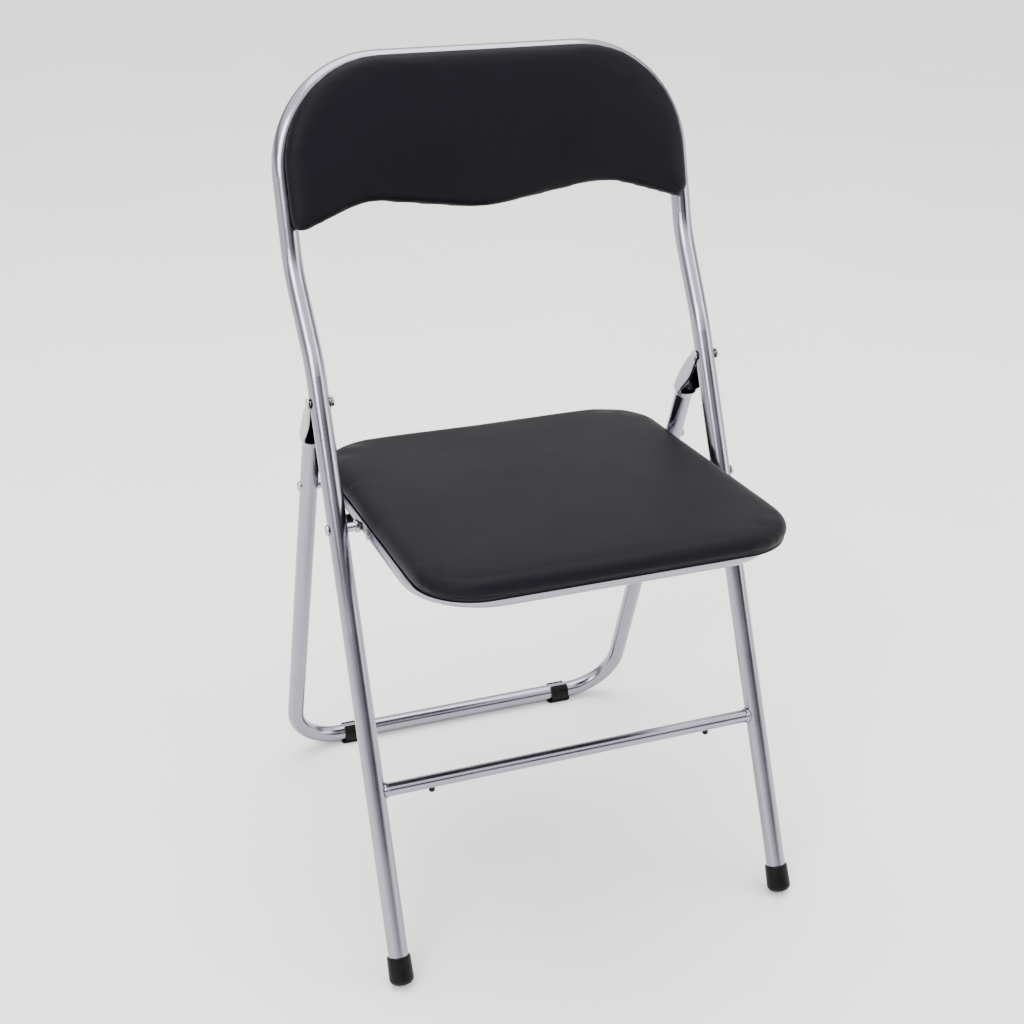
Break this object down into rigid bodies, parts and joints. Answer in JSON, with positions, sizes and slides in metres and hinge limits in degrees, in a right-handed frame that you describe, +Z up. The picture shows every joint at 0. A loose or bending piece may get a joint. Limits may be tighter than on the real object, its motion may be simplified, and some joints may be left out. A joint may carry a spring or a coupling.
{
  "type": "folding chair",
  "caption": "Folding chair with a bent tube front frame, a rear U-leg that swings forward, a hinged padded seat and a curved padded backrest.",
  "frame": {"origin": "on the floor, under the middle of the chair's bounding box in X and Y", "axes": "+Z up, the chair's front towards -Y, +X towards a sitter's left"},
  "size_m": [0.4234, 0.4689, 0.7952],
  "materials": {
    "silver_tube": "satin silver paint on steel tube",
    "rivet_steel": "bright zinc plated",
    "screw_steel": "zinc plated",
    "link_steel": "satin silver paint",
    "black_plastic": "black moulded plastic",
    "black_rubber": "black rubber",
    "seat_vinyl": "black vinyl, fine grain",
    "back_vinyl": "black vinyl, fine grain",
    "board": "board behind black cloth"
  },
  "bodies": {
    "front_frame": {"front_frame_tube": "silver_tube", "front_stretcher": "silver_tube", "stretcher_weld_left": "silver_tube", "stretcher_weld_right": "silver_tube", "stretcher_bumper_left": "black_rubber", "stretcher_bumper_right": "black_rubber", "foot_cap_left": "black_plastic", "foot_cap_right": "black_plastic", "leg_pivot_rivets": "rivet_steel", "seat_pivot_rivets": "rivet_steel", "seat_spacer_left": "rivet_steel", "seat_spacer_right": "rivet_steel", "backrest_board": "board", "backrest_pad": "back_vinyl", "back_tab_side_left": "silver_tube", "back_tab_side_right": "silver_tube", "back_tab_top_left": "silver_tube", "back_tab_top_right": "silver_tube", "back_screws": "screw_steel"},
    "seat": {"seat_frame_tube": "silver_tube", "seat_cross_tube": "silver_tube", "rail_plug_left": "black_plastic", "rail_plug_right": "black_plastic", "rod_ear_left": "silver_tube", "rod_ear_right": "silver_tube", "seat_board": "board", "seat_pad": "seat_vinyl", "seat_screws": "screw_steel", "rail_side_screws": "screw_steel"},
    "rear_legs": {"rear_leg_frame": "silver_tube", "rear_rivets": "rivet_steel", "rear_clip_left": "black_plastic", "rear_clip_right": "black_plastic"},
    "link_arms": {"link_arm_left": "link_steel", "link_arm_right": "link_steel", "link_rod": "link_steel", "rod_sleeves": "black_plastic", "link_studs": "rivet_steel"}
  },
  "joints": [
    {"name": "seat_fold", "type": "hinge", "parent": "front_frame", "child": "seat", "pos_m": [0, -0.02128, 0.39382], "axis": [-1, 0, 0], "range_deg": [0, 110]},
    {"name": "rear_leg_fold", "type": "hinge", "parent": "front_frame", "child": "rear_legs", "pos_m": [0, 0.02789, 0.50126], "axis": [-1, 0, 0], "range_deg": [0, 42]},
    {"name": "link_fold", "type": "hinge", "parent": "seat", "child": "link_arms", "pos_m": [0, 0.02865, 0.37758], "axis": [1, 0, 0], "range_deg": [0, 123.8]}
  ],
  "couplings": [
    {"joint": "rear_leg_fold", "follows": "seat_fold", "ratio": 0.3818},
    {"joint": "link_fold", "follows": "seat_fold", "ratio": 1.125}
  ]
}
